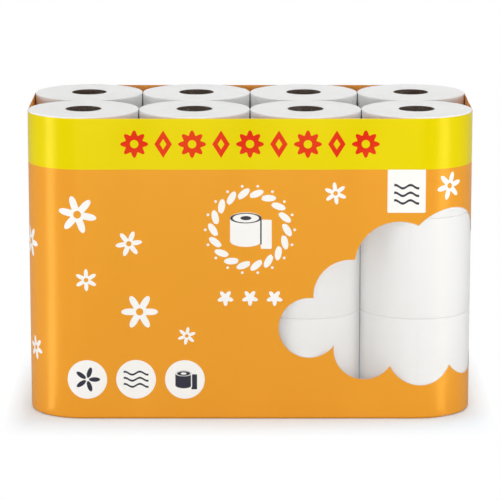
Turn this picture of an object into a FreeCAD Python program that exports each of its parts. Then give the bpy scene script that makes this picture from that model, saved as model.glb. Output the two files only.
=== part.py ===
"""Multi-layer pack of toilet rolls in one printed film wrap.

The pack stands on the XY plane with its origin at the centre of its base.
X runs along the four columns of rolls, Y from front to back, Z up.
All sizes are in millimetres.
"""

import FreeCAD
import Part
import Sketcher
import os

COLUMN_COUNT = 4
LAYER_NAMES = ("bottom", "middle", "top")
ROW_NAMES = ("front", "back")
# Every loose tail lies towards the back of its roll: where the first one is, how far on the
# next one is, and the arc that they all stay in, in degrees from the +X direction.
TAIL_FIRST_DEGREES = 15
TAIL_NEXT_DEGREES = 55
TAIL_SPAN_DEGREES = 150

# The driving sizes, in millimetres. Each one gets a cell of that name in the sheet.
SIZES = {
    "roll_diameter": 109.0,  # outside a wound roll
    "roll_length": 100.0,  # of a roll and of its core, along the axis
    "roll_gap": 0.2,  # between neighbouring rolls at their closest
    "roll_edge_radius": 1.2,  # rounding of a roll's two outer edges
    "tail_step": 0.5,  # height of the step where the outer turn ends
    "turn_groove_depth": 0.35,  # ring lines between the turns, on a roll's ends
    "turn_groove_width": 0.9,  # the same lines, at the surface
    "core_bore": 34.0,  # inside the cardboard core
    "core_wall": 0.6,  # of the cardboard core
    "core_gap": 0.05,  # between the core and the innermost turn
    "film_thickness": 0.3,  # one layer of the wrapping film
    "film_gap": 0.15,  # between the film and the side of a roll
    "flap_lap": 24.0,  # overlap of the two long end flaps
    "flap_cut": 0.6,  # line where the bottom flaps meet
    "seam_width": 16.0,  # upright lap seam at the back
}
TURN_GROOVE_COUNT = 3  # ring lines on each end, evenly spread over the wound paper

# Lengths worked out from the sizes above, as expressions on the sheet.
PITCH = "(sizes.roll_diameter + sizes.roll_gap)"
ROLL_RADIUS = "(sizes.roll_diameter / 2)"
CORE_RADIUS = "(sizes.core_bore / 2 + sizes.core_wall)"
BORE_RADIUS = f"({CORE_RADIUS} + sizes.core_gap)"
WOUND = f"({ROLL_RADIUS} - {BORE_RADIUS})"
STACK = f"({len(LAYER_NAMES)} * sizes.roll_length)"
INNER_HALF_WIDTH = f"({COLUMN_COUNT} * {PITCH} / 2 - sizes.roll_gap / 2 + sizes.film_gap)"
INNER_HALF_DEPTH = f"({len(ROW_NAMES)} * {PITCH} / 2 - sizes.roll_gap / 2 + sizes.film_gap)"
INNER_CORNER = f"({ROLL_RADIUS} + sizes.film_gap)"
OUTER_HALF_WIDTH = f"({INNER_HALF_WIDTH} + sizes.film_thickness)"
OUTER_HALF_DEPTH = f"({INNER_HALF_DEPTH} + sizes.film_thickness)"
OUTER_CORNER = f"({INNER_CORNER} + sizes.film_thickness)"
FOLD_RADIUS = "(sizes.roll_edge_radius + sizes.film_thickness)"

# Heights of the layers of film, from the floor up.
SHEET_BOTTOM = "sizes.film_thickness"
STACK_BOTTOM = "(2 * sizes.film_thickness)"
STACK_TOP = f"({STACK_BOTTOM} + {STACK})"
SHEET_TOP = f"({STACK_TOP} + sizes.film_thickness)"
FLAP_TOP = f"({SHEET_TOP} + sizes.film_thickness)"

# Outline of the long end flaps, seen from above, in the first quarter.
FLAP_EDGE = f"({OUTER_HALF_DEPTH} - {FOLD_RADIUS})"
FLAP_CORNER = f"({OUTER_CORNER} - {FOLD_RADIUS})"
CORNER_X = f"({OUTER_HALF_WIDTH} - {OUTER_CORNER})"
CORNER_Y = f"({OUTER_HALF_DEPTH} - {OUTER_CORNER})"
CORNER_RUN = f"({FLAP_CORNER} * cos(45))"
FOLD_APEX = f"({OUTER_HALF_WIDTH} - {OUTER_HALF_DEPTH})"

# How a sketch numbers its own origin, and the points of a line, arc or circle.
ORIGIN = -1
START, END, CENTRE = range(1, 4)


def make_sheet(doc):
    """Writes every driving size into its own named cell."""
    sheet = doc.addObject("Spreadsheet::Sheet", "sizes")
    for row, (alias, value) in enumerate(SIZES.items(), start=1):
        sheet.set(f"A{row}", alias.replace("_", " "))
        sheet.set(f"B{row}", str(value))
        sheet.setAlias(f"B{row}", alias)
    doc.recompute()
    return sheet


def measure(holder, expression):
    """The value of an expression on the sheet, in millimetres."""
    return float(holder.evalExpression(expression))


def make_body(doc, name):
    body = doc.addObject("PartDesign::Body", name)
    body.Label = name
    return body


def make_sketch(body, name, plane="XY_Plane", height=None):
    """A sketch on one of the body's own origin planes, raised to a height if one is given."""
    sketch = body.newObject("Sketcher::SketchObject", f"{body.Name}_{name}")
    support = [f for f in body.Origin.OriginFeatures if f.Role == plane][0]
    sketch.AttachmentSupport = [(support, "")]
    sketch.MapMode = "FlatFace"
    if height is not None:
        sketch.setExpression("AttachmentOffset.Base.z", height)
    return sketch


def dimension(sketch, kind, parts, expression):
    """A dimension of a sketch at its present value, with the expression that drives it."""
    return Sketcher.Constraint(kind, *parts, measure(sketch, expression)), expression


def place_point(sketch, line, end, across, up):
    """The two dimensions that hold one end of a line or arc across and up from the origin."""
    return [
        dimension(sketch, "DistanceX", (ORIGIN, START, line, end), across),
        dimension(sketch, "DistanceY", (ORIGIN, START, line, end), up),
    ]


def constrain(sketch, rules):
    """Adds constraints, each with its expression or None, and binds them to the sheet."""
    numbers = sketch.addConstraint([rule for rule, _ in rules])
    for number, (_, expression) in zip(numbers, rules):
        if expression is not None:
            sketch.setExpression(f"Constraints[{number}]", expression)


def add_circle(sketch, radius):
    """A circle about the origin."""
    size = measure(sketch, radius)
    circle = Part.Circle(FreeCAD.Vector(), FreeCAD.Vector(0, 0, 1), size)
    number = sketch.addGeometry(circle, False)
    centred = Sketcher.Constraint("Coincident", number, CENTRE, ORIGIN, START)
    constrain(sketch, [(centred, None), dimension(sketch, "Radius", (number,), radius)])


def add_outline(sketch, corners):
    """A closed outline through corners given as (across, up, arc), each an expression.

    arc is None for a straight side to the next corner, or (centre across, centre up,
    turn) for an arc, where turn is 1 for anticlockwise and -1 for clockwise.
    """
    points = [
        FreeCAD.Vector(measure(sketch, across), measure(sketch, up), 0)
        for across, up, _ in corners
    ]
    numbers = []
    for place, (_, _, arc) in enumerate(corners):
        here = points[place]
        there = points[(place + 1) % len(points)]
        if arc is None:
            numbers.append(sketch.addGeometry(Part.LineSegment(here, there), False))
            continue
        across, up, turn = arc
        centre = FreeCAD.Vector(measure(sketch, across), measure(sketch, up), 0)
        first, last = (here, there) if turn > 0 else (there, here)
        circle = Part.Circle(centre, FreeCAD.Vector(0, 0, 1), centre.distanceToPoint(here))
        curve = Part.ArcOfCircle(circle, circle.parameter(first), circle.parameter(last))
        numbers.append(sketch.addGeometry(curve, False))
    rules = []
    for place, (across, up, arc) in enumerate(corners):
        line = numbers[place]
        before = numbers[place - 1]
        turn_here = arc[2] if arc else 1
        turn_before = corners[place - 1][2][2] if corners[place - 1][2] else 1
        begin = START if turn_here > 0 else END
        finish = END if turn_before > 0 else START
        joined = Sketcher.Constraint("Coincident", before, finish, line, begin)
        rules.append((joined, None))
        rules.extend(place_point(sketch, line, begin, across, up))
        if arc:
            rules.append(dimension(sketch, "DistanceY", (ORIGIN, START, line, CENTRE), arc[1]))
    constrain(sketch, rules)


def rounded_rectangle(sketch, half_width, half_depth, corner):
    """A rectangle about the origin with four round corners."""
    flat_x = f"({half_width} - {corner})"
    flat_y = f"({half_depth} - {corner})"
    corners = [
        (flat_x, f"-{half_depth}", (flat_x, f"-{flat_y}", 1)),
        (half_width, f"-{flat_y}", None),
        (half_width, flat_y, (flat_x, flat_y, 1)),
        (flat_x, half_depth, None),
        (f"-{flat_x}", half_depth, (f"-{flat_x}", flat_y, 1)),
        (f"-{half_width}", flat_y, None),
        (f"-{half_width}", f"-{flat_y}", (f"-{flat_x}", f"-{flat_y}", 1)),
        (f"-{flat_x}", f"-{half_depth}", None),
    ]
    add_outline(sketch, corners)


def flap_outline(sketch):
    """Both long end flaps: straight long edges, round corners and a notch at each short end."""
    slant_x = f"({CORNER_X} + {CORNER_RUN})"
    slant_y = f"({CORNER_Y} + {CORNER_RUN})"
    corners = [
        (f"-{CORNER_X}", f"-{FLAP_EDGE}", None),
        (CORNER_X, f"-{FLAP_EDGE}", (CORNER_X, f"-{CORNER_Y}", 1)),
        (slant_x, f"-{slant_y}", None),
        (FOLD_APEX, "0", None),
        (slant_x, slant_y, (CORNER_X, CORNER_Y, 1)),
        (CORNER_X, FLAP_EDGE, None),
        (f"-{CORNER_X}", FLAP_EDGE, (f"-{CORNER_X}", CORNER_Y, 1)),
        (f"-{slant_x}", slant_y, None),
        (f"-{FOLD_APEX}", "0", None),
        (f"-{slant_x}", f"-{slant_y}", (f"-{CORNER_X}", f"-{CORNER_Y}", 1)),
    ]
    add_outline(sketch, corners)


def pad(body, name, sketch, length):
    """Adds the sketch's outline to the body, upwards by a length."""
    feature = body.newObject("PartDesign::Pad", f"{body.Name}_{name}")
    feature.Profile = sketch
    feature.setExpression("Length", length)
    return feature


def pocket_upwards(doc, body, name, sketch, length):
    """Cuts the sketch's outline out of the body, upwards by a length."""
    doc.recompute()
    before = body.Shape.Volume
    feature = body.newObject("PartDesign::Pocket", f"{body.Name}_{name}")
    feature.Profile = sketch
    feature.Reversed = True
    feature.setExpression("Length", length)
    doc.recompute()
    if body.Shape.Volume >= before:
        raise ValueError(f"{name} cuts nothing out of {body.Label}")
    return feature


def level_edges(feature, heights):
    """The names of the feature's edges that lie flat at one of the heights."""
    names = []
    for number, edge in enumerate(feature.Shape.Edges, start=1):
        box = edge.BoundBox
        if any(abs(box.ZMin - h) < 1e-6 and abs(box.ZMax - h) < 1e-6 for h in heights):
            names.append(f"Edge{number}")
    return names


def round_edges(doc, body, name, feature, heights, radius):
    """Rounds every flat edge of the feature that lies at one of the heights."""
    doc.recompute()
    fillet = body.newObject("PartDesign::Fillet", f"{body.Name}_{name}")
    fillet.Base = (feature, level_edges(feature, heights))
    fillet.setExpression("Radius", radius)
    return fillet


def make_film(doc):
    """The wrap: one film folded round all the rolls, sealed at the back, the top and the bottom."""
    body = make_body(doc, "film_wrap")
    thickness = "sizes.film_thickness"

    outside = make_sketch(body, "outside", height=SHEET_BOTTOM)
    rounded_rectangle(outside, OUTER_HALF_WIDTH, OUTER_HALF_DEPTH, OUTER_CORNER)
    pad(body, "block", outside, f"{SHEET_TOP} - {SHEET_BOTTOM}")
    inside = make_sketch(body, "inside", height=STACK_BOTTOM)
    rounded_rectangle(inside, INNER_HALF_WIDTH, INNER_HALF_DEPTH, INNER_CORNER)
    hollow = pocket_upwards(doc, body, "hollow", inside, STACK)

    # The folds inside are rounded before the ones outside, which keeps the wall even.
    ends = [measure(body, STACK_BOTTOM), measure(body, STACK_TOP)]
    folds = round_edges(doc, body, "inner_folds", hollow, ends, "sizes.roll_edge_radius")
    ends = [measure(body, SHEET_BOTTOM), measure(body, SHEET_TOP)]
    round_edges(doc, body, "outer_folds", folds, ends, FOLD_RADIUS)

    seam = make_sketch(body, "back_seam_outline", height=f"({SHEET_BOTTOM} + {FOLD_RADIUS})")
    half = "(sizes.seam_width / 2)"
    seam_corners = [
        (half, f"({OUTER_HALF_DEPTH} - {thickness} / 2)", None),
        (half, f"({OUTER_HALF_DEPTH} + {thickness})", None),
        (f"-{half}", f"({OUTER_HALF_DEPTH} + {thickness})", None),
        (f"-{half}", f"({OUTER_HALF_DEPTH} - {thickness} / 2)", None),
    ]
    add_outline(seam, seam_corners)
    pad(body, "back_seam", seam, f"{SHEET_TOP} - {SHEET_BOTTOM} - 2 * {FOLD_RADIUS}")

    top_flaps = make_sketch(body, "top_flap_outline", height=SHEET_TOP)
    flap_outline(top_flaps)
    pad(body, "top_flaps", top_flaps, thickness)

    lap = make_sketch(body, "top_lap_outline", height=FLAP_TOP)
    half = "(sizes.flap_lap / 2)"
    lap_corners = [
        (f"-({FOLD_APEX} - {half})", f"-{half}", None),
        (f"({FOLD_APEX} - {half})", f"-{half}", None),
        (f"({FOLD_APEX} + {half})", half, None),
        (f"-({FOLD_APEX} + {half})", half, None),
    ]
    add_outline(lap, lap_corners)
    pad(body, "top_lap", lap, thickness)

    bottom_flaps = make_sketch(body, "bottom_flap_outline")
    flap_outline(bottom_flaps)
    pad(body, "bottom_flaps", bottom_flaps, thickness)

    meeting = make_sketch(body, "bottom_meeting_outline")
    reach = f"({FOLD_APEX} + sizes.flap_lap)"
    meeting_corners = [
        (f"-{reach}", f"({half} - sizes.flap_cut)", None),
        (reach, f"({half} - sizes.flap_cut)", None),
        (reach, half, None),
        (f"-{reach}", half, None),
    ]
    add_outline(meeting, meeting_corners)
    cut = pocket_upwards(doc, body, "bottom_meeting", meeting, thickness)
    body.Tip = cut
    return body


def turn_line(sketch, radius, end, inwards):
    """A small V at one end of the roll, cut all round to show where one turn lies on the next."""
    half = "(sizes.turn_groove_width / 2)"
    outer = (f"({radius} + {half})", end, None)
    inner = (f"({radius} - {half})", end, None)
    root = (radius, f"({end} {inwards} sizes.turn_groove_depth)", None)
    add_outline(sketch, [inner, outer, root])


def round_off(sketch, end, inwards):
    """The sliver outside a roll's rounded outer edge, to be cut away all round."""
    radius = "sizes.roll_edge_radius"
    flat = f"({ROLL_RADIUS} - {radius})"
    clear = f"({ROLL_RADIUS} + {radius})"
    level = f"({end} {inwards} {radius})"
    outwards = "+" if inwards == "-" else "-"
    beyond = f"({end} {outwards} {radius})"
    turn = -1 if inwards == "-" else 1
    corners = [
        (flat, end, (flat, level, turn)),
        (ROLL_RADIUS, level, None),
        (clear, level, None),
        (clear, beyond, None),
        (flat, beyond, None),
    ]
    add_outline(sketch, corners)


def make_roll(doc, name):
    """One wound roll of paper, with the loose tail of its outer turn and a bore for the core."""
    body = make_body(doc, name)
    section = make_sketch(body, "section")
    step = "sizes.tail_step"
    far = f"-{ROLL_RADIUS}"
    tail = f"({ROLL_RADIUS} - {step})"
    corners = [
        (ROLL_RADIUS, "0", ("0", "0", 1)),
        (far, "0", (f"-({step} / 2)", "0", 1)),
        (tail, "0", None),
    ]
    add_outline(section, corners)
    add_circle(section, BORE_RADIUS)
    pad(body, "wound_paper", section, "sizes.roll_length")

    ends = make_sketch(body, "end_lines", plane="XZ_Plane")
    for end, inwards in (("0", "+"), ("sizes.roll_length", "-")):
        round_off(ends, end, inwards)
        for line in range(TURN_GROOVE_COUNT):
            share = f"{line + 1} / {TURN_GROOVE_COUNT + 1}"
            turn_line(ends, f"({BORE_RADIUS} + {share} * {WOUND})", end, inwards)
    groove = body.newObject("PartDesign::Groove", f"{name}_finished_ends")
    groove.Profile = ends
    groove.ReferenceAxis = (ends, ["V_Axis"])
    groove.Angle = 360
    body.Tip = groove
    return body


def make_core(doc, name):
    """One cardboard core: a plain tube as long as its roll."""
    body = make_body(doc, name)
    section = make_sketch(body, "section")
    add_circle(section, CORE_RADIUS)
    add_circle(section, "(sizes.core_bore / 2)")
    pad(body, "tube", section, "sizes.roll_length")
    return body


def make_repeat(doc, name, original):
    """A body of its own with the same shape as another body."""
    body = make_body(doc, name)
    repeat = body.newObject("PartDesign::FeatureBase", f"{name}_repeat")
    repeat.BaseFeature = original
    body.Tip = repeat
    return body


def place(body, column, row, layer, turn):
    """Stands a roll or core in its own place in the pack, turned about its own axis."""
    axis = FreeCAD.Vector(0, 0, 1)
    body.Placement = FreeCAD.Placement(FreeCAD.Vector(), FreeCAD.Rotation(axis, turn))
    across = column - (COLUMN_COUNT - 1) / 2
    back = row - (len(ROW_NAMES) - 1) / 2
    body.setExpression("Placement.Base.x", f"{across} * {PITCH}")
    body.setExpression("Placement.Base.y", f"{back} * {PITCH}")
    body.setExpression("Placement.Base.z", f"{STACK_BOTTOM} + {layer} * sizes.roll_length")


def make_rolls(doc):
    """Every roll and its core, from the bottom up: one of each is drawn, and the rest repeat it."""
    pieces = []
    for layer, layer_name in enumerate(LAYER_NAMES):
        for row, row_name in enumerate(ROW_NAMES):
            for column in range(COLUMN_COUNT):
                name = f"{layer_name}_{row_name}_{column + 1}"
                number = len(pieces) // 2
                turn = TAIL_FIRST_DEGREES + number * TAIL_NEXT_DEGREES % TAIL_SPAN_DEGREES
                if pieces:
                    roll = make_repeat(doc, f"roll_{name}", pieces[0])
                    core = make_repeat(doc, f"core_{name}", pieces[1])
                else:
                    roll = make_roll(doc, f"roll_{name}")
                    core = make_core(doc, f"core_{name}")
                place(roll, column, row, layer, turn)
                place(core, column, row, layer, turn)
                pieces += [roll, core]
    return pieces


def check(doc, bodies):
    """Stops if any object failed, or if any piece isn't one valid closed solid."""
    for thing in doc.Objects:
        if "Invalid" in thing.State or "Error" in thing.State:
            raise ValueError(f"{thing.Label} failed to build: {thing.State}")
    for body in bodies:
        shape = body.Shape
        if shape.isNull() or not shape.isValid() or len(shape.Solids) != 1:
            raise ValueError(f"{body.Label} isn't one valid solid")
        print(f"{body.Label}: {shape.Volume:.1f} cubic mm")


def main():
    doc = FreeCAD.newDocument("toilet_roll_pack")
    make_sheet(doc)
    bodies = [make_film(doc), *make_rolls(doc)]
    doc.recompute()
    check(doc, bodies)
    os.makedirs("parts", exist_ok=True)
    for body in bodies:
        body.Shape.exportStep(f"parts/{body.Label}.step")


main()
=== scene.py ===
"""Toilet roll pack: the finish of the rolls, their cores and the printed film round them.

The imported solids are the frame. Every piece made here stands where its solid stands.
"""

import math

import bmesh
import bpy
from bpy.props import FloatProperty, FloatVectorProperty, IntProperty, PointerProperty
from mathutils import Matrix, Vector, noise


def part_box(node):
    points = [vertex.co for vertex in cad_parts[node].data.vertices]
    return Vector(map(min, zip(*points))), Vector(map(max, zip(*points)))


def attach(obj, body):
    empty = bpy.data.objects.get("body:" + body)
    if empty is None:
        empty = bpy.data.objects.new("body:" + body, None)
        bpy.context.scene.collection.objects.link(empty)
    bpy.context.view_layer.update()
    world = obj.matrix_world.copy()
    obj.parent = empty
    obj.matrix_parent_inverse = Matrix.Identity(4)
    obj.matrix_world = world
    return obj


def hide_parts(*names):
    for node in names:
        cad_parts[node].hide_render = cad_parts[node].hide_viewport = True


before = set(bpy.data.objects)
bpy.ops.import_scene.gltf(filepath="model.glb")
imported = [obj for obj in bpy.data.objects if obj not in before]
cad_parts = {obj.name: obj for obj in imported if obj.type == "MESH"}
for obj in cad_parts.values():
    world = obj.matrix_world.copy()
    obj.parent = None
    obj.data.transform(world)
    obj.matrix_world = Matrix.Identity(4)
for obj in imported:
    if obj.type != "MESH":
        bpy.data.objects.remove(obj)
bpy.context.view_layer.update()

bl_info = {
    "name": "Toilet Roll Pack",
    "version": (1, 0, 0),
    "blender": (4, 5, 0),
    "location": "3D View > Sidebar > Roll Pack",
    "description": "Makes a film-wrapped pack of toilet rolls round its packed solids",
    "category": "Object",
}

BODY = "root"

# What the frame gives: the box of every solid, and from them the pack's own sizes.
FILM_LOW, FILM_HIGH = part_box("film_wrap")
PLACES = [name[len("roll_"):] for name in sorted(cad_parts) if name.startswith("roll_")]
FIRST_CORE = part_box("core_bottom_front_1")
NEXT_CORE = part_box("core_bottom_front_2")
ROLL_LENGTH = FIRST_CORE[1][2] - FIRST_CORE[0][2]
CORE_RADIUS = (FIRST_CORE[1][0] - FIRST_CORE[0][0]) / 2
PITCH = NEXT_CORE[0][0] - FIRST_CORE[0][0]
ROLLS_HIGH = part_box("core_top_front_1")[1][2]
TURN = 2 * math.pi


def ink(red, green, blue):
    """A printed colour, given as a display shows it from 0 to 255, as Blender's linear light."""
    shares = [value / 255 for value in (red, green, blue)]
    return tuple(s / 12.92 if s <= 0.04045 else ((s + 0.055) / 1.055) ** 2.4 for s in shares)


def shade(colour, share):
    """A colour made darker: a share of its light."""
    return tuple(share * part for part in colour)


# The faint milkiness of clear film, and the warm sheen of printed film.
HAZE = ink(252, 252, 252)
SHEEN = (1.0, 0.76, 0.12)


class RollSettings(bpy.types.PropertyGroup):
    gap: FloatProperty(
        name="Gap", description="Between neighbouring rolls", default=0.00004, unit="LENGTH"
    )
    core_gap: FloatProperty(
        name="Core Gap", description="Between a core and its paper", default=0.00005, unit="LENGTH"
    )
    tail_step: FloatProperty(
        name="Tail Step", description="Step where the outer turn ends", default=0.0005, unit="LENGTH"
    )
    edge_radius: FloatProperty(
        name="Edge", description="Rounding of a roll's outer edges", default=0.0012, unit="LENGTH"
    )
    ridge_count: IntProperty(
        name="Ridges", description="Ring ridges that show on a roll's end", default=13
    )
    ridge_height: FloatProperty(
        name="Ridge Height", description="Height of a ridge on the end", default=0.00022, unit="LENGTH"
    )
    core_wall: FloatProperty(
        name="Core Wall", description="Wall of the cardboard core", default=0.0006, unit="LENGTH"
    )
    tissue: FloatVectorProperty(
        name="Tissue", description="Colour of the paper", default=ink(252, 252, 251), subtype="COLOR"
    )
    board: FloatVectorProperty(
        name="Core Board", description="Colour of the cores", default=ink(80, 63, 50), subtype="COLOR"
    )


class FilmSettings(bpy.types.PropertyGroup):
    gauge: FloatProperty(
        name="Gauge", description="Thickness of the film", default=0.00008, unit="LENGTH"
    )
    layer: FloatProperty(
        name="Layer", description="Height that one folded layer takes up", default=0.0003, unit="LENGTH"
    )
    grid: FloatProperty(
        name="Grid", description="Spacing of the film's mesh", default=0.006, unit="LENGTH"
    )
    top_fold: FloatProperty(
        name="Top Fold", description="Rounding of the upper rim", default=0.0015, unit="LENGTH"
    )
    bottom_fold: FloatProperty(
        name="Bottom Fold", description="Rounding of the lower rim", default=0.0022, unit="LENGTH"
    )
    crisp: FloatProperty(
        name="Crisp", description="Width of the strip next to a rim, which keeps its shading short",
        default=0.0004, unit="LENGTH"
    )
    dip: FloatProperty(
        name="Dip", description="Depth to which the film sinks between two rolls", default=0.0011,
        unit="LENGTH"
    )
    crease: FloatProperty(
        name="Crease", description="Height of the small creases at the rims", default=0.00022,
        unit="LENGTH"
    )
    lap: FloatProperty(
        name="Lap", description="Overlap of the long end flaps", default=0.024, unit="LENGTH"
    )
    meeting: FloatProperty(
        name="Meeting Line", description="Gap between the two flaps of the base", default=0.0006,
        unit="LENGTH"
    )
    seam: FloatProperty(
        name="Seam", description="Width of the upright seam at the back", default=0.016, unit="LENGTH"
    )


class PrintSettings(bpy.types.PropertyGroup):
    band: FloatProperty(
        name="Band", description="Height of the band round the top", default=0.050, unit="LENGTH"
    )
    margin: FloatProperty(
        name="Margin", description="Clear film above the print", default=0.0012, unit="LENGTH"
    )
    ground: FloatVectorProperty(
        name="Ground", description="Main colour", default=ink(240, 160, 50), subtype="COLOR"
    )
    band_colour: FloatVectorProperty(
        name="Band Colour", description="Colour of the top band", default=ink(236, 216, 0),
        subtype="COLOR"
    )
    red: FloatVectorProperty(
        name="Red", description="Colour of the ornaments on the band", default=ink(230, 0, 18),
        subtype="COLOR"
    )
    inside: FloatVectorProperty(
        name="Inside", description="Back of the print", default=ink(255, 166, 48), subtype="COLOR"
    )
    haze: FloatProperty(
        name="Haze", description="Share of light that one face of the window holds back", default=0.18
    )
    white: FloatVectorProperty(
        name="White", description="White ink", default=ink(254, 254, 253), subtype="COLOR"
    )
    navy: FloatVectorProperty(
        name="Navy", description="Dark ink", default=ink(32, 42, 72), subtype="COLOR"
    )


class StageSettings(bpy.types.PropertyGroup):
    camera_distance: FloatProperty(
        name="Camera Distance", description="In front of the pack's middle", default=2.9186,
        unit="LENGTH"
    )
    camera_height: FloatProperty(
        name="Camera Height", description="Above the floor", default=0.7535, unit="LENGTH"
    )
    camera_pitch: FloatProperty(
        name="Camera Pitch", description="Angle that the camera looks down by",
        default=math.radians(11.735), subtype="ANGLE"
    )
    lens: FloatProperty(name="Lens", description="Focal length on a 36 mm sensor", default=212.1)
    world_light: FloatProperty(
        name="World Light", description="Strength of the even light from all round", default=0.26
    )


class Field:
    """A number in a shader, on which Python's arithmetic adds Math nodes."""

    def __init__(self, shader, socket):
        self.shader = shader
        self.socket = socket

    def math(self, operation, *others, clamp=False):
        settings = {"operation": operation, "use_clamp": clamp}
        return self.shader.add("ShaderNodeMath", settings, (self, *others))

    def __add__(self, other):
        return self.math("ADD", other)

    def __sub__(self, other):
        return self.math("SUBTRACT", other)

    def __mul__(self, other):
        return self.math("MULTIPLY", other)

    def __truediv__(self, other):
        return self.math("DIVIDE", other)

    def __rsub__(self, other):
        return self.shader.add("ShaderNodeMath", {"operation": "SUBTRACT"}, (other, self))

    def __abs__(self):
        return self.math("ABSOLUTE")

    __radd__ = __add__
    __rmul__ = __mul__


class Shader:
    """A material, or a world, whose nodes are added from Python."""

    # Texture Coordinate's Object output, and Mix's colour sockets, by their numbers.
    OBJECT_OUTPUT = 3
    MIX_SHARE, MIX_BELOW, MIX_ABOVE, MIX_OUTPUT = 0, 6, 7, 2

    def __init__(self, name, kind="materials"):
        self.owner = getattr(bpy.data, kind).new(name)
        self.owner.use_nodes = True
        self.tree = self.owner.node_tree
        self.surface = self.tree.nodes.get("Principled BSDF")

    def add(self, kind, settings=None, values=(), output=0):
        """One node: its settings, then the values or links of its sockets by number or name."""
        node = self.tree.nodes.new(kind)
        for name, value in (settings or {}).items():
            setattr(node, name, value)
        pairs = values.items() if isinstance(values, dict) else enumerate(values)
        for key, value in pairs:
            self.connect(node.inputs[key], value)
        return Field(self, node.outputs[output])

    def connect(self, socket, value):
        if isinstance(value, Field):
            self.tree.links.new(value.socket, socket)
        elif socket.type == "RGBA":
            socket.default_value = (*value, 1)
        else:
            socket.default_value = value

    def finish(self, **values):
        """Sets the surface's sockets, by their names with underscores for spaces."""
        for name, value in values.items():
            self.connect(self.surface.inputs[name.replace("_", " ")], value)
        return self.owner

    def mix(self, share, below, above):
        """Two colours, with the second one over the first by a share."""
        values = {self.MIX_SHARE: share, self.MIX_BELOW: below, self.MIX_ABOVE: above}
        return self.add("ShaderNodeMix", {"data_type": "RGBA"}, values, output=self.MIX_OUTPUT)

    def noise(self, vector, scale, detail=2.0):
        values = {"Vector": vector, "Scale": scale, "Detail": detail}
        return self.add("ShaderNodeTexNoise", None, values)

    def bump(self, height):
        """A normal from a height in metres."""
        return self.add("ShaderNodeBump", None, {"Strength": 1.0, "Distance": 1.0, "Height": height})

    def object_place(self, scale=(1, 1, 1)):
        place = self.add("ShaderNodeTexCoord", output=self.OBJECT_OUTPUT)
        return self.add("ShaderNodeMapping", None, {"Vector": place, "Scale": scale})

    def object_axis(self, axis):
        """How far along one axis a point is, in Object coordinates."""
        place = self.add("ShaderNodeTexCoord", output=self.OBJECT_OUTPUT)
        return self.add("ShaderNodeSeparateXYZ", None, (place,), output=axis)


class Print(Shader):
    """A material drawn with plain shapes on a piece's own map, whose units are metres.

    A shape is a field that is negative inside. u runs to the right, v upwards. A repeat is the
    distance after which the print begins again.
    """

    EDGE = 0.0004

    def __init__(self, name, map_name, repeat=0.0):
        super().__init__(name)
        place = self.add("ShaderNodeUVMap", {"uv_map": map_name})
        self.full_u = self.add("ShaderNodeSeparateXYZ", None, (place,))
        self.v = self.add("ShaderNodeSeparateXYZ", None, (place,), output=1)
        self.u = self.full_u.math("WRAP", repeat / 2, -repeat / 2) if repeat else self.full_u

    def inside(self, shape, edge=EDGE):
        """How far a point is inside a shape, from 0 to 1."""
        return shape.math("MULTIPLY_ADD", -1 / edge, 0.5, clamp=True)

    def join(self, *shapes):
        whole = shapes[0]
        for shape in shapes[1:]:
            whole = whole.math("MINIMUM", shape)
        return whole

    def common(self, *shapes):
        whole = shapes[0]
        for shape in shapes[1:]:
            whole = whole.math("MAXIMUM", shape)
        return whole

    def length(self, across, up):
        """The straight way to a point."""
        return (across * across + up * up).math("SQRT")

    def disc(self, u, v, radius, centre=(0, 0)):
        """A disc on the fields u and v."""
        return self.length(u - centre[0], v - centre[1]) - radius

    def block(self, u, v, centre, half_width, half_height, corner=0.0):
        """A rectangle with round corners."""
        across = (abs(u - centre[0]) - (half_width - corner)).math("MAXIMUM", 0)
        up = (abs(v - centre[1]) - (half_height - corner)).math("MAXIMUM", 0)
        return self.length(across, up) - max(corner, self.EDGE / 2)

    def diamond(self, u, v, half_width, half_height):
        slant = abs(u) / half_width + abs(v) / half_height
        return (slant - 1) * (half_width * half_height / math.hypot(half_width, half_height))

    def ellipse(self, u, v, half_width, half_height):
        return (self.length(u / half_width, v / half_height) - 1) * min(half_width, half_height)

    def blossom(self, u, v, radius, petals, notch=0.45, turn=0.0):
        """A flower seen from above: its edge goes in and out once for each petal."""
        angle = v.math("ARCTAN2", u)
        wave = (angle * petals + turn * petals).math("COSINE")
        reach = wave.math("MULTIPLY_ADD", radius * notch / 2, radius * (1 - notch / 2))
        return self.length(u, v) - reach

    def leaves(self, u, v, radius, count, length, width, tilt):
        """A wreath: one leaf repeated round a circle, each tilted to it."""
        sector = TURN / count
        angle = v.math("ARCTAN2", u)
        around = angle.math("WRAP", sector / 2, -sector / 2)
        reach = self.length(u, v)
        out = reach * around.math("COSINE") - radius
        along = reach * around.math("SINE")
        stem = out * math.cos(tilt) + along * math.sin(tilt)
        side = along * math.cos(tilt) - out * math.sin(tilt)
        return self.ellipse(side, stem, length / 2, width / 2)


# Where the printed shapes lie on the film: across from the middle of the front, and above the floor.
BAND_SPACING = 0.028
BAND_REACH = 4.5 * BAND_SPACING
BAND_ROSETTE = 0.0135
BAND_DIAMOND = (0.0085, 0.0135)
WREATH = (0.0, 0.190)
WREATH_RADIUS = 0.036
WREATH_LEAVES = 18
ROW_HEIGHT = 0.122
ROW_SPACING = 0.024
TAB_MIDDLE = 0.152
TAB_HALF_WIDTH = 0.0185
TAB_HEIGHT = 0.0425
WAVES = 3
WAVES_WIDTH = 0.024
BADGES = ((-0.160, 0.040), (-0.112, 0.040), (-0.064, 0.040))
BADGE_RADIUS = 0.0195
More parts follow.
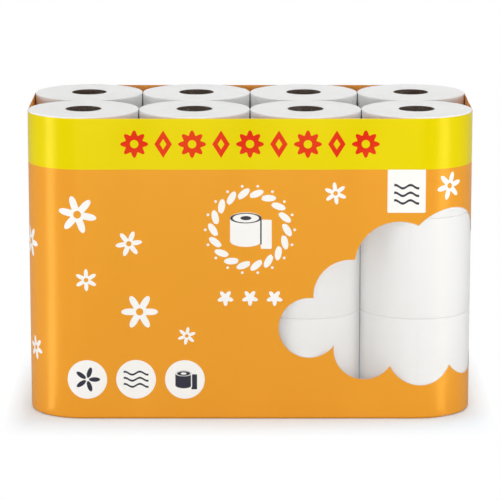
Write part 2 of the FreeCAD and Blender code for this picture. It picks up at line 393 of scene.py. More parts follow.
# Each blossom: across, up, its radius and its turn.
BLOSSOMS = (
    (-0.168, 0.205, 0.019, 0.2),
    (-0.118, 0.176, 0.013, 0.9),
    (-0.160, 0.140, 0.011, 0.5),
    (-0.108, 0.108, 0.018, 0.0),
    (-0.062, 0.084, 0.009, 0.7),
    (0.083, 0.226, 0.011, 0.4),
    (0.196, 0.232, 0.014, 0.8),
    (0.268, 0.212, 0.016, 0.3),
    (-0.232, 0.172, 0.016, 0.1),
    (-0.276, 0.226, 0.012, 0.5),
    (-0.272, 0.118, 0.019, 0.6),
    (-0.222, 0.066, 0.012, 0.3),
    (-0.282, 0.040, 0.014, 0.9),
    (0.276, 0.038, 0.013, 0.8),
)
# The window's cloud: the place and radius of each puff, and a long body behind them.
CLOUD_PUFFS = (
    (0.058, 0.092, 0.030),
    (0.098, 0.124, 0.036),
    (0.146, 0.154, 0.044),
    (0.200, 0.162, 0.048),
    (0.246, 0.136, 0.042),
    (0.264, 0.098, 0.030),
    (0.112, 0.070, 0.030),
    (0.168, 0.068, 0.034),
    (0.224, 0.072, 0.032),
)
CLOUD_BODY = ((0.166, 0.110), 0.104, 0.036)


def map_point(shader, centre):
    return shader.u - centre[0], shader.v - centre[1]


def draw_window(shader):
    """The clear window: a cloud of discs, which runs on round the right-hand corner."""
    puffs = [shader.disc(shader.u, shader.v, radius, (u, v)) for u, v, radius in CLOUD_PUFFS]
    centre, half_width, half_height = CLOUD_BODY
    body = shader.block(shader.u, shader.v, centre, half_width, half_height, half_height)
    return shader.join(body, *puffs)


def draw_band_row(shader, middle):
    """Rosettes and diamonds in turn along the band."""
    across = abs(shader.u)
    up = shader.v - middle
    period = BAND_SPACING
    at_rosette = across.math("WRAP", period, -period)
    at_diamond = (across - period).math("WRAP", period, -period)
    rosette = shader.blossom(at_rosette, up, BAND_ROSETTE, petals=8, notch=0.34)
    eye = shader.disc(at_rosette, up, BAND_ROSETTE * 0.30)
    diamond = shader.diamond(at_diamond, up, *BAND_DIAMOND)
    hole = shader.diamond(at_diamond, up, *(0.38 * side for side in BAND_DIAMOND))
    solid = shader.join(shader.common(rosette, 0 - eye), shader.common(diamond, 0 - hole))
    return shader.common(solid, across - BAND_REACH)


def draw_roll_sign(shader, centre, size):
    """A toilet roll as a sign, in two parts: its white body with a hanging sheet, and its dark lines."""
    u, v = map_point(shader, centre)
    top = v - 0.30 * size
    rim = shader.ellipse(u, top, 0.40 * size, 0.15 * size)
    side = shader.block(u, v, (0, 0), 0.40 * size, 0.30 * size)
    foot = shader.ellipse(u, v + 0.30 * size, 0.40 * size, 0.15 * size)
    sheet = shader.block(u, v, (0.52 * size, -0.12 * size), 0.14 * size, 0.38 * size, 0.03 * size)
    white = shader.join(rim, side, foot, sheet)
    bore = shader.ellipse(u, top, 0.14 * size, 0.055 * size)
    rim_line = abs(shader.ellipse(u, top, 0.37 * size, 0.125 * size)) - 0.012 * size
    edge_line = shader.block(u, v, (0.385 * size, -0.05 * size), 0.014 * size, 0.33 * size)
    return white, shader.join(bore, rim_line, edge_line)


def draw_waves(shader, centre, spacing, rise, half_line):
    """Wavy lines one above another, as a sign for soft layers."""
    u, v = map_point(shader, centre)
    wave = (u * (TURN / (WAVES_WIDTH * 0.62))).math("SINE") * rise
    stack = v - wave
    lines = abs(stack.math("WRAP", spacing / 2, -spacing / 2)) - half_line
    whole = shader.block(u, stack, (0, 0), WAVES_WIDTH / 2, spacing * WAVES / 2)
    return shader.common(lines, whole)


def print_layers(shader, settings):
    """The film's printed colour: the ground, then each shape over the last."""
    top = ROLLS_HIGH - settings.margin
    band_low = top - settings.band
    colour = shader.mix(
        shader.inside(band_low - shader.v), tuple(settings.ground), tuple(settings.band_colour)
    )

    row = draw_band_row(shader, (top + band_low) / 2)
    colour = shader.mix(shader.inside(row), colour, tuple(settings.red))

    tab_centre = (TAB_MIDDLE, band_low - TAB_HEIGHT / 2)
    tab = shader.block(shader.u, shader.v, tab_centre, TAB_HALF_WIDTH, TAB_HEIGHT / 2, corner=0.001)
    layers_centre = (TAB_MIDDLE, tab_centre[1] - 0.003)
    layers = draw_waves(shader, layers_centre, spacing=0.0075, rise=0.0016, half_line=0.0012)

    wreath_u, wreath_v = map_point(shader, WREATH)
    wreath = shader.leaves(
        wreath_u, wreath_v, WREATH_RADIUS, WREATH_LEAVES, length=0.0145, width=0.0066, tilt=0.55
    )
    berries = shader.leaves(
        wreath_u, wreath_v, WREATH_RADIUS + 0.0075, WREATH_LEAVES, length=0.0026, width=0.0026, tilt=0.0
    )
    sign, sign_lines = draw_roll_sign(shader, (WREATH[0] - 0.004, WREATH[1]), size=0.038)

    blossoms = []
    for u, v, radius, turn in BLOSSOMS:
        at_u, at_v = map_point(shader, (u, v))
        petals = shader.blossom(at_u, at_v, radius, petals=6, notch=0.62, turn=turn)
        blossoms.append(shader.common(petals, radius * 0.20 - shader.disc(at_u, at_v, 0.0)))
    for side in (-1, 0, 1):
        at_u, at_v = map_point(shader, (side * ROW_SPACING, ROW_HEIGHT))
        blossoms.append(shader.blossom(at_u, at_v, radius=0.008, petals=5, notch=0.5, turn=0.3))

    discs = [shader.disc(shader.u, shader.v, BADGE_RADIUS, centre) for centre in BADGES]
    leaf_u, leaf_v = map_point(shader, BADGES[0])
    leaf = shader.leaves(leaf_u, leaf_v, 0.0072, count=5, length=0.0046, width=0.0110, tilt=0.0)
    layers_sign = draw_waves(shader, BADGES[1], spacing=0.0062, rise=0.0015, half_line=0.0010)
    roll_place = (BADGES[2][0] - 0.0012, BADGES[2][1])
    roll_sign, roll_lines = draw_roll_sign(shader, roll_place, size=0.020)

    white = shader.join(tab, wreath, berries, sign, *blossoms, *discs)
    colour = shader.mix(shader.inside(white), colour, tuple(settings.white))
    dark = shader.join(layers, sign_lines, leaf, layers_sign, roll_sign)
    colour = shader.mix(shader.inside(dark), colour, tuple(settings.navy))
    return shader.mix(shader.inside(roll_lines), colour, tuple(settings.white))


def clear_part(shader, settings):
    """The window, and all of the film that has no ink: the window and the strip above the print."""
    window = shader.inside(draw_window(shader))
    above = shader.inside((ROLLS_HIGH - settings.margin) - shader.v)
    return window, window.math("MAXIMUM", above)


RIB_SPACING = 0.0016
RIB_HEIGHT = 0.00005


def film_height(shader):
    """Small unevenness of tight film, in metres."""
    broad = shader.noise(shader.object_place((1, 1, 0.45)), 16.0, 1.0)
    fine = shader.noise(shader.object_place((1, 1, 0.25)), 70.0, 2.0)
    return broad * 0.00035 + fine * 0.00004


def make_printed_film(settings, perimeter, seam):
    """Glossy printed film, with its clear window."""
    shader = Print("printed_film", "wrap", repeat=perimeter / 2)
    window, bare = clear_part(shader, settings)
    colour = shader.mix(bare, print_layers(shader, settings), HAZE)
    cover = 1 - bare + window * settings.haze
    on_seam = shader.inside((perimeter - seam) / 2 - abs(shader.full_u))
    ribs = (shader.v * (TURN / RIB_SPACING)).math("SINE") * RIB_HEIGHT * on_seam
    return shader.finish(
        Base_Color=colour, Roughness=0.27, Specular_Tint=SHEEN, Alpha=cover,
        Normal=shader.bump(film_height(shader) + ribs),
    )


def make_film_inside(settings, perimeter):
    """The back of the printed film: the ground colour, with the same clear window."""
    shader = Print("printed_film_inside", "wrap", repeat=perimeter / 2)
    window, bare = clear_part(shader, settings)
    colour = shader.mix(bare, tuple(settings.inside), HAZE)
    return shader.finish(
        Base_Color=colour, Roughness=0.5, Specular_IOR_Level=0.2, Alpha=1 - bare + window * settings.haze,
        Normal=shader.bump(film_height(shader)),
    )


def make_plain_film(settings):
    """Printed film with no shapes, for the folded base."""
    shader = Shader("plain_film")
    tone = shader.noise(shader.object_place(), 9.0, 1.0)
    colour = shader.mix(tone, shade(settings.ground, 0.86), tuple(settings.ground))
    return shader.finish(
        Base_Color=colour, Roughness=0.38, Specular_Tint=SHEEN, Normal=shader.bump(film_height(shader))
    )


def make_clear_film():
    """Clear film over the tops of the rolls, hardly to be seen but for its creases."""
    shader = Shader("clear_film")
    place = shader.object_place((1.0, 2.4, 1.0))
    streaks = abs(shader.noise(place, 26.0, 3.0) - 0.5)
    crease = streaks.math("MULTIPLY_ADD", -36.0, 1.0, clamp=True)
    cover = crease.math("MULTIPLY_ADD", 0.012, 0.003)
    height = shader.noise(place, 26.0, 3.0) * 0.0006
    return shader.finish(
        Base_Color=HAZE, Roughness=0.3, Specular_IOR_Level=0.3, Alpha=cover,
        Normal=shader.bump(height),
    )


# The paper's dots, its sheets and the cuts between them, and the turns on a roll's end.
DOT_SPACING = 0.0055
DOT_HEIGHT = 0.00004
SHEET_LENGTH = 0.114
CUT_SPACING = 0.004
CUT_HALF_WIDTH = 0.00035
TURN_SPACING = 0.00082
# How near the plane between two rolls their sides are painted dark: painted shade where they touch.
CONTACT_SHADE_DEPTH = 0.0005
# How far the seam of a core's board climbs in one turn.
CORE_CLIMB = 0.085


def painted_contact_shade(shader):
    """Painted shade: the narrow strips where a roll lies against the next one, and hardly any light gets
    in, are painted dark.
    """
    x, y = (shader.object_axis(axis) for axis in (0, 1))
    columns = shader.common(abs(x.math("WRAP", PITCH / 2, -PITCH / 2)), abs(x) - 1.5 * PITCH)
    return shader.inside(shader.join(columns, abs(y)) - CONTACT_SHADE_DEPTH)


def make_tissue_side(colour):
    """The outer turn of paper: soft, faintly embossed, with rows of perforations, and painted shade where
    it lies against the next roll.
    """
    shader = Print("tissue_side", "paper")
    dots_u, dots_v = ((way * (TURN / DOT_SPACING)).math("SINE") for way in (shader.u, shader.v))
    emboss = (dots_u * dots_v) * DOT_HEIGHT
    fibre = shader.noise(shader.object_place(), 420.0, 3.0)
    sheet = shader.u.math("WRAP", SHEET_LENGTH / 2, -SHEET_LENGTH / 2)
    row = shader.inside(abs(sheet) - CUT_HALF_WIDTH)
    dash = shader.inside((shader.v * (TURN / CUT_SPACING)).math("SINE"), edge=0.3)
    cut = row * dash
    tint = shader.mix(fibre, shade(colour, 0.93), shade(colour, 0.98))
    tint = shader.mix(cut * 0.35, tint, shade(colour, 0.6))
    # Painted shade: the paper is painted dark in narrow strips where two rolls touch.
    tint = shader.mix(painted_contact_shade(shader), tint, shade(colour, 0.2))
    height = emboss + fibre * 0.00005 - cut * 0.0001
    return shader.finish(
        Base_Color=tint, Roughness=0.92, Specular_IOR_Level=0.2, Normal=shader.bump(height)
    )


def make_tissue_end(colour, start):
    """The cut end of a roll: the edges of its turns, close together, with fluffy paper between, and
    painted shade next to the bore.
    """
    shader = Print("tissue_end", "paper")
    angle = shader.v.math("ARCTAN2", shader.u)
    out = shader.length(shader.u, shader.v)
    spiral = (out - start) / TURN_SPACING - angle / TURN
    turns = (spiral * TURN).math("SINE")
    fibre = shader.noise(shader.object_place(), 300.0, 4.0)
    clouds = shader.noise(shader.object_place(), 38.0, 2.0)
    share = turns * 0.18 + fibre * 0.6 + clouds * 0.6 - 0.1
    tint = shader.mix(share.math("ADD", 0, clamp=True), shade(colour, 0.90), colour)
    # Painted shade: the paper is painted a little darker close to the bore.
    painted_bore_shade = shader.inside(out - (start + 0.0012), edge=0.002)
    tint = shader.mix(painted_bore_shade * 0.2, tint, shade(colour, 0.6))
    height = turns * 0.00003 + fibre * 0.00012
    return shader.finish(
        Base_Color=tint, Roughness=0.95, Specular_IOR_Level=0.15, Normal=shader.bump(height)
    )


def make_core_board(colour):
    """Grey-brown cardboard wound in a spiral, so a seam climbs round the core."""
    shader = Print("core_board", "paper")
    climb = (shader.u / (TURN * CORE_RADIUS) + shader.v / CORE_CLIMB).math("FRACT")
    seam = shader.inside(abs(climb - 0.5) - 0.004, edge=0.006)
    fibre = shader.noise(shader.object_place((1, 1, 0.3)), 240.0, 4.0)
    tint = shader.mix(fibre, shade(colour, 0.72), colour)
    tint = shader.mix(seam * 0.6, tint, shade(colour, 0.45))
    height = fibre * 0.00006 - seam * 0.0001
    return shader.finish(
        Base_Color=tint, Roughness=0.9, Specular_IOR_Level=0.15, Normal=shader.bump(height)
    )


def finish_piece(bm, name, materials, nodes):
    """Makes the mesh an object, in its place, that rides on the pack and stands for its solid."""
    mesh = bpy.data.meshes.new(name)
    bm.to_mesh(mesh)
    bm.free()
    piece = bpy.data.objects.new(name, mesh)
    bpy.context.collection.objects.link(piece)
    for material in materials:
        mesh.materials.append(material)
    mesh.shade_smooth()
    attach(piece, BODY)
    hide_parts(*nodes)
    return piece


def spin_profile(bm, points, steps, merge):
    """Turns a closed outline of (radius, height) about the Z axis, and gives its first and last rows."""
    rows = [bm.verts.new((radius, 0, height)) for radius, height in points]
    edges = [bm.edges.new((rows[i - 1], rows[i])) for i in range(len(rows))]
    made = bmesh.ops.spin(
        bm, geom=rows + edges, cent=(0, 0, 0), axis=(0, 0, 1), angle=TURN, steps=steps,
        use_merge=merge, use_duplicate=False,
    )
    last = [item for item in made["geom_last"] if isinstance(item, bmesh.types.BMVert)]
    return rows, last


def map_paper(bm):
    """The map that the paper's pattern follows: plain on the ends, unrolled on the side."""
    layer = bm.loops.layers.uv.new("paper")
    for face in bm.faces:
        flat = abs(face.normal.z) > 0.7
        middle = face.calc_center_median()
        heading = math.atan2(middle.y, middle.x)
        face.material_index = 1 if flat else 0
        for loop in face.loops:
            x, y, z = loop.vert.co
            if flat:
                loop[layer].uv = (x, y)
                continue
            turn = (math.atan2(y, x) - heading + math.pi) % TURN - math.pi
            loop[layer].uv = ((heading + turn) * middle.xy.length, z)


# The plain rings of a roll's end, next to its bore and next to its side.
INNER_RING = 0.0006
OUTER_RING = 0.003
ROLL_STEPS = 72
CORE_STEPS = 64


def roll_outline(sizes, bore, radius):
    """One roll's section: ridged ends, round outer edges and a straight side."""
    edge = sizes.edge_radius
    ridge_start = bore + INNER_RING
    ridge_end = radius - OUTER_RING
    step = (ridge_end - ridge_start) / (2 * sizes.ridge_count)
    end = [(bore, 0.0002), (bore + INNER_RING / 2, 0)]
    for number in range(2 * sizes.ridge_count + 1):
        end.append((ridge_start + number * step, sizes.ridge_height * (number % 2)))
    for number in range(4):
        angle = math.pi / 2 * number / 3
        end.append((radius - edge + edge * math.sin(angle), edge - edge * math.cos(angle)))
    top = [(out, ROLL_LENGTH - up) for out, up in reversed(end)]
    return end + [(radius, ROLL_LENGTH * share) for share in (0.25, 0.5, 0.75)] + top


def make_roll_form(sizes):
    """A wound roll about the Z axis. The step of its loose tail is on the +X side, and the turn
    under it draws in over the last twelfth of the way round."""
    bm = bmesh.new()
    bore = CORE_RADIUS + sizes.core_gap
    radius = PITCH / 2 - sizes.gap / 2
    first, last = spin_profile(bm, roll_outline(sizes, bore, radius), ROLL_STEPS, merge=False)
    ends = {vert: TURN for vert in last}
    ends.update({vert: 0.0 for vert in first})
    for vert in bm.verts:
        out = vert.co.xy.length
        share = min(max((out - (radius - OUTER_RING)) / (OUTER_RING / 2), 0), 1)
        turn = ends.get(vert, math.atan2(vert.co.y, vert.co.x) % TURN)
        drawn_in = out - sizes.tail_step * share * max(12 * turn / TURN - 11, 0)
        vert.co.xy *= drawn_in / out
    bmesh.ops.remove_doubles(bm, verts=bm.verts, dist=1e-6)
    open_edges = [edge for edge in bm.edges if edge.is_boundary]
    bmesh.ops.holes_fill(bm, edges=open_edges, sides=0)
    bmesh.ops.recalc_face_normals(bm, faces=bm.faces)
    map_paper(bm)
    return bm


LAYERS = ("bottom", "middle", "top")
ROWS = ("front", "back")
COLUMNS = 4
# A roll's loose tail lies between these two degrees, which are both towards the back.
TAIL_FROM = 15
TAIL_TO = 165
TAIL_TURN = 55


def place_number(name):
    """A roll's number in the pack, counted by layer, then row, then column."""
    layer, row, column = name.split("_")
    return (LAYERS.index(layer) * len(ROWS) + ROWS.index(row)) * COLUMNS + int(column) - 1


def tail_angle(name):
    """Where a roll's loose tail lies: always towards the back, at another angle each time."""
    return math.radians(TAIL_FROM + place_number(name) * TAIL_TURN % (TAIL_TO - TAIL_FROM))


def make_round_pieces(form, kind, materials):
    """Copies a round form into every place in the pack, as a piece for each."""
    for name in PLACES:
        low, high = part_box(f"core_{name}")
        centre = ((low[0] + high[0]) / 2, (low[1] + high[1]) / 2, low[2])
        bm = form.copy()
        place = Matrix.Translation(centre) @ Matrix.Rotation(tail_angle(name), 4, "Z")
        bmesh.ops.transform(bm, matrix=place, verts=bm.verts)
        finish_piece(bm, f"{kind}_{name}_dressed", materials, [f"{kind}_{name}"])
    form.free()


class OBJECT_OT_add_rolls(bpy.types.Operator):
    """Add the wound rolls of paper"""

    bl_idname = "object.pack_add_rolls"
    bl_label = "Add Rolls"

    def execute(self, context):
        sizes = context.scene.pack_rolls
        colour = tuple(sizes.tissue)
        start = CORE_RADIUS + sizes.core_gap
        materials = [make_tissue_side(colour), make_tissue_end(colour, start)]
        make_round_pieces(make_roll_form(sizes), "roll", materials)
        return {"FINISHED"}


class OBJECT_OT_add_cores(bpy.types.Operator):
    """Add the cardboard cores"""

    bl_idname = "object.pack_add_cores"
    bl_label = "Add Cores"

    def execute(self, context):
        sizes = context.scene.pack_rolls
        bore = CORE_RADIUS - sizes.core_wall
        round_off = sizes.core_wall / 4
        foot = [
            (bore, round_off),
            (bore + round_off, 0),
            (CORE_RADIUS - round_off, 0),
            (CORE_RADIUS, round_off),
        ]
        head = [(out, ROLL_LENGTH - up) for out, up in reversed(foot)]
        bm = bmesh.new()
        spin_profile(bm, foot + head, CORE_STEPS, merge=True)
        bmesh.ops.recalc_face_normals(bm, faces=bm.faces)
        map_paper(bm)
        board = make_core_board(tuple(sizes.board))
        make_round_pieces(bm, "core", [board, board])
        return {"FINISHED"}


class Wrap:
    """The film's wall seen from above: a rectangle with four large round corners."""

    def __init__(self, sizes):
        self.half_width = FILM_HIGH[0]
        self.half_depth = -FILM_LOW[1]
        self.corner = self.half_depth - PITCH / 2
        self.flat_x = self.half_width - self.corner
        self.flat_y = self.half_depth - self.corner
        self.low = FILM_LOW[2] + sizes.layer
        self.high = FILM_HIGH[2] - 2 * sizes.layer
        self.perimeter = 4 * (self.flat_x + self.flat_y) + TURN * self.corner

    def outwards(self, point):
        """The direction straight out of the wall at a point, and the middle that it turns about."""
        middle = Vector((
            min(max(point.x, -self.flat_x), self.flat_x),
            min(max(point.y, -self.flat_y), self.flat_y),
        ))
        return (point.xy - middle).normalized(), middle

    def length_to(self, point, side):
        """How far round the wall a point is from the middle of the front, to the right or left."""
        mirrored = Vector((point.x * side, point.y, 0))
        direction, middle = self.outwards(mirrored)
        angle = abs(math.atan2(direction.x, -direction.y))
        front = middle.x if angle < 0.001 else self.flat_x
        back = self.flat_x - middle.x if angle > math.pi - 0.001 else 0
        return side * (front + self.corner * angle + middle.y + self.flat_y + back)


def round_edges(bm, edges, radius, steps):
    bmesh.ops.bevel(
        bm, geom=edges, offset=radius, offset_type="OFFSET", segments=steps, profile=0.5,
        affect="EDGES", material=-1,
    )


def make_block(half_width, half_depth, low, high, corner, corner_steps):
    """A block with round upright corners."""
    bm = bmesh.new()
    bmesh.ops.create_cube(bm, size=1)
    scale = (2 * half_width, 2 * half_depth, high - low)
    bmesh.ops.scale(bm, vec=scale, verts=bm.verts)
    bmesh.ops.translate(bm, vec=(0, 0, (low + high) / 2), verts=bm.verts)
    upright = [edge for edge in bm.edges if abs(edge.verts[0].co.z - edge.verts[1].co.z) > 1e-6]
    round_edges(bm, upright, corner, corner_steps)
    return bm


def round_rim(bm, height, radius, steps):
    """Rounds the block's edges at a height."""
    rim = [edge for edge in bm.edges if all(abs(v.co.z - height) < 1e-6 for v in edge.verts)]
    round_edges(bm, rim, radius, steps)


def cut_plane(bm, place, normal, clear=False):
    """Cuts the mesh along a plane, and may take off all that lies beyond it."""
    everything = bm.verts[:] + bm.edges[:] + bm.faces[:]
    bmesh.ops.bisect_plane(
        bm, geom=everything, dist=1e-6, plane_co=place, plane_no=normal, clear_outer=clear
    )


def cut_across(bm, axis, low, high, step):
    """Cuts evenly spaced loops through the mesh, square to an axis."""
    count = round((high - low) / step)
    normal = Vector([float(axis == number) for number in range(3)])
    for number in range(count + 1):
        cut_plane(bm, normal * (low + (high - low) * number / count), normal)


def map_wrap(bm, wrap):
    """The map that the print follows: how far round the wall, and how high."""
    layer = bm.loops.layers.uv.new("wrap")
    for face in bm.faces:
        side = 1 if face.calc_center_median().x >= 0 else -1
        for loop in face.loops:
            point = loop.vert.co
            loop[layer].uv = (wrap.length_to(point, side), point.z)


# How far from the line between two rolls the film still dips, and how far from a rim it dips fully.
DIP_REACH = 0.021
DIP_FULL = 0.03
# How far from a rim its creases run, how much the film waves elsewhere, and how far out it may come.
CREASE_REACH = 0.035
SLACK = 0.00018
FILM_LIMIT = 0.0001


def film_move(point, wrap, sizes):
    """How far the film moves at a point: in between two rolls, and in small creases at the rims."""
    direction, middle = wrap.outwards(point)
    if abs(direction.y) > 0.99:
        nearest = min(abs(point.x - between) for between in (-PITCH, 0.0, PITCH))
    elif abs(direction.x) > 0.99:
        nearest = abs(point.y)
    else:
        nearest = PITCH
    rim = max(min(point.z - wrap.low, wrap.high - point.z), 0)
    sunk = sizes.dip * math.exp(-((nearest / DIP_REACH) ** 2)) * min(rim / DIP_FULL, 1)
    around = wrap.length_to(point, 1 if point.x >= 0 else -1)
    fold = noise.noise(Vector((around * 55, point.z * 9, 3.7)))
    creased = sizes.crease * fold * math.exp(-rim / CREASE_REACH)
    slack = SLACK * noise.noise(Vector((around * 14, point.z * 7, 1.3)))
    return direction * min(creased + slack - sunk, FILM_LIMIT)


def shape_film(bm, wrap, sizes):
    """Lets the film's wall follow the rolls under it, and leaves its level parts as they are."""
    for vert in bm.verts:
        middle = wrap.outwards(vert.co)[1]
        if (vert.co.xy - middle).length > wrap.corner - sizes.bottom_fold:
            vert.co.xy += film_move(vert.co, wrap, sizes)


CORNER_STEPS = 26
FLAP_CORNER_STEPS = 12
# How far past the middles of the round corners the cuts across a level sheet go.
SHEET_MARGIN = 0.045


def make_inner_block(wrap, inset, low, high):
    """A block as large as the pack's end, drawn in from the wall all round."""
    return make_block(
        wrap.half_width - inset, wrap.half_depth - inset, low, high, wrap.corner - inset,
        FLAP_CORNER_STEPS,
    )


def make_level_sheet(wrap, sizes, level):
    """One flat sheet as large as the pack's end."""
    bm = make_inner_block(wrap, sizes.top_fold, level - sizes.layer, level)
    others = [face for face in bm.faces if face.normal.z < 0.9]
    bmesh.ops.delete(bm, geom=others, context="FACES")
    return bm


def cut_flap(bm, wrap, side, meeting):
    """Cuts one long flap out of a sheet: straight along the middle, slanted at both ends."""
    cut_plane(bm, (0, meeting, 0), (0, -side, 0), clear=True)
    apex = wrap.half_width - wrap.half_depth
    for end in (-1, 1):
        cut_plane(bm, (end * apex, 0, 0), (end, -side, 0), clear=True)


def add_grid(bm, wrap, step):
    """Cuts a level sheet into small squares, which its waves need."""
    for axis, flat in ((0, wrap.flat_x), (1, wrap.flat_y)):
        cut_across(bm, axis, -flat - SHEET_MARGIN, flat + SHEET_MARGIN, step)


def wave_sheet(bm, height, seed):
    """Gives a level sheet slight waves, upwards only."""
    for vert in bm.verts:
        wave = noise.noise(Vector((vert.co.x * 24, vert.co.y * 40, seed)))
        vert.co.z += height * (0.5 + 0.5 * wave)


class OBJECT_OT_add_film(bpy.types.Operator):
    """Add the printed film round the rolls"""

    bl_idname = "object.pack_add_film"
    bl_label = "Add Film"

    def execute(self, context):
        sizes = context.scene.pack_film
        colours = context.scene.pack_print
        wrap = Wrap(sizes)
        bm = make_block(
            wrap.half_width, wrap.half_depth, wrap.low, wrap.high, wrap.corner, CORNER_STEPS
        )
        round_rim(bm, wrap.low, sizes.bottom_fold, 5)
        round_rim(bm, wrap.high, sizes.top_fold, 3)
        lid = [face for face in bm.faces if face.normal.z > 0.99]
        bmesh.ops.delete(bm, geom=lid, context="FACES")
        cut_across(bm, 0, -wrap.flat_x, wrap.flat_x, sizes.grid)
        cut_across(bm, 1, -wrap.flat_y, wrap.flat_y, sizes.grid)
        low = wrap.low + sizes.bottom_fold
        high = wrap.high - sizes.top_fold
        cut_across(bm, 2, low + sizes.grid, high - sizes.grid, sizes.grid)
        cut_across(bm, 2, low + sizes.crisp, high - sizes.crisp, high - low)
        map_wrap(bm, wrap)
        for face in bm.faces:
            face.material_index = 1 if face.normal.z < -0.99 else 0
        shape_film(bm, wrap, sizes)
        inside = make_film_inside(colours, wrap.perimeter)
        materials = [
            make_printed_film(colours, wrap.perimeter, sizes.seam),
            make_plain_film(colours),
            inside,
            inside,
        ]
        piece = finish_piece(bm, "printed_wrap", materials, ["film_wrap"])
        wall = piece.modifiers.new("Film Gauge", "SOLIDIFY")
        wall.thickness = sizes.gauge
        wall.offset = -1
        wall.material_offset = 2
        return {"FINISHED"}


class OBJECT_OT_add_top(bpy.types.Operator):
    """Add the clear film over the rolls, with its two long flaps"""

    bl_idname = "object.pack_add_top"
    bl_label = "Add Top"

    def execute(self, context):
        sizes = context.scene.pack_film
        wrap = Wrap(sizes)
        clear = make_clear_film()
        lid = make_level_sheet(wrap, sizes, wrap.high)
        add_grid(lid, wrap, 2 * sizes.grid)
        finish_piece(lid, "top_film", [clear], ["film_wrap"])
        # The front flap lies just over the lid, and the back one a layer higher.
        for side, name, lift in ((-1, "front", 0.15), (1, "back", 1.15)):
            flap = make_level_sheet(wrap, sizes, wrap.high + lift * sizes.layer)
            cut_flap(flap, wrap, side, -side * sizes.lap / 2)
            add_grid(flap, wrap, sizes.grid)
            wave_sheet(flap, 0.5 * sizes.layer, seed=90 * lift)
            finish_piece(flap, f"top_flap_{name}", [clear], ["film_wrap"])
        return {"FINISHED"}


class OBJECT_OT_add_base(bpy.types.Operator):
    """Add the folded flaps that the pack stands on"""

    bl_idname = "object.pack_add_base"
    bl_label = "Add Base"

    def execute(self, context):
        sizes = context.scene.pack_film
        wrap = Wrap(sizes)
        plain = bpy.data.materials["plain_film"]
        low = FILM_LOW[2] + 0.02 * sizes.layer
        high = wrap.low - 0.1 * sizes.layer
        # Each flap nearly fills the layer between the ground and the wall's floor.
        for side, name in ((-1, "front"), (1, "back")):
            flap = make_inner_block(wrap, sizes.bottom_fold, low, high)
            cut_flap(flap, wrap, side, sizes.lap / 2 + (side - 1) * sizes.meeting / 2)
            rims = [edge for edge in flap.edges if edge.is_boundary]
            bmesh.ops.holes_fill(flap, edges=rims, sides=0)
            finish_piece(flap, f"base_flap_{name}", [plain], ["film_wrap"])
        return {"FINISHED"}


class OBJECT_OT_add_seam(bpy.types.Operator):
    """Add the upright lap seam, a flat strip of the same film sealed along the back"""

    bl_idname = "object.pack_add_seam"
    bl_label = "Add Seam"

    def execute(self, context):
        sizes = context.scene.pack_film
        wrap = Wrap(sizes)
        low = wrap.low + sizes.bottom_fold
        high = wrap.high - sizes.top_fold
        bm = bmesh.new()
        bmesh.ops.create_cube(bm, size=1)
        bmesh.ops.scale(bm, vec=(sizes.seam, sizes.layer, high - low), verts=bm.verts)
        back = FILM_HIGH[1] - sizes.layer / 2
        bmesh.ops.translate(bm, vec=(0, back, (low + high) / 2), verts=bm.verts)
        cut_across(bm, 0, -sizes.seam / 4, sizes.seam / 4, sizes.seam / 4)
        cut_across(bm, 2, low + sizes.grid, high - sizes.grid, sizes.grid)
        map_wrap(bm, wrap)
        for vert in bm.verts:
            vert.co.xy += film_move(vert.co, wrap, sizes)
        printed = bpy.data.materials["printed_film"]
        finish_piece(bm, "back_seam", [printed], ["film_wrap"])
        return {"FINISHED"}


# Light Path's outputs, by their numbers.
CAMERA_RAY = 0
GLOSSY_RAY = 3
TRANSMISSION_RAY = 6
# How far the pale floor reaches out from the film before it is plain white, at the ends of the pack
# and before and behind it.
PALE_BESIDE = 0.024
PALE_BEFORE = 0.065
FLOOR_HALF_SIZE = 15
# The floor's colour as the pack meets it, and its colour and glow as the camera sees them by the pack.
FLOOR_BOUNCE = (0.5, 0.5, 0.5)
FLOOR_NEAR = (0.79, 0.88, 0.95)
FLOOR_GLOW = 0.11
# Each light's place, target, width, height and watts.
BOXES = {
    "top_box": ((0.1, 0.2, 2.6), (0, 0, 0.15), 2.2, 2.2, 34),
    "front_box": ((-0.3, -3.0, 0.42), (0, 0, 0.15), 1.4, 0.5, 36),
    "left_box": ((-0.72, -0.28, 0.26), (-0.164, -0.055, 0.24), 0.20, 0.5, 1.42),
    "right_box": ((0.650, -0.407, 0.26), (0.164, -0.055, 0.24), 0.24, 0.5, 1.45),
    "back_box": ((0.6, 2.9, 0.6), (0, 0, 0.15), 2.0, 0.8, 44),
}
# Where the stripe that a side box leaves on a round corner of the film meets the floor.
STRIPES = {"left_box": (-0.197, -0.096), "right_box": (0.189, -0.103)}
# Where the lights on the floor begin and end, as shares of the way from a stripe to its side box.
FOOT_STEPS = (0.04, 0.12, 0.22, 0.38, 0.65, 0.98)


def any_ray(shader, *kinds):
    """1 for rays of the kinds named, as Light Path's outputs are numbered, and 0 for all others."""
    rays = [shader.add("ShaderNodeLightPath", output=kind) for kind in kinds]
    return sum(rays[1:], rays[0])


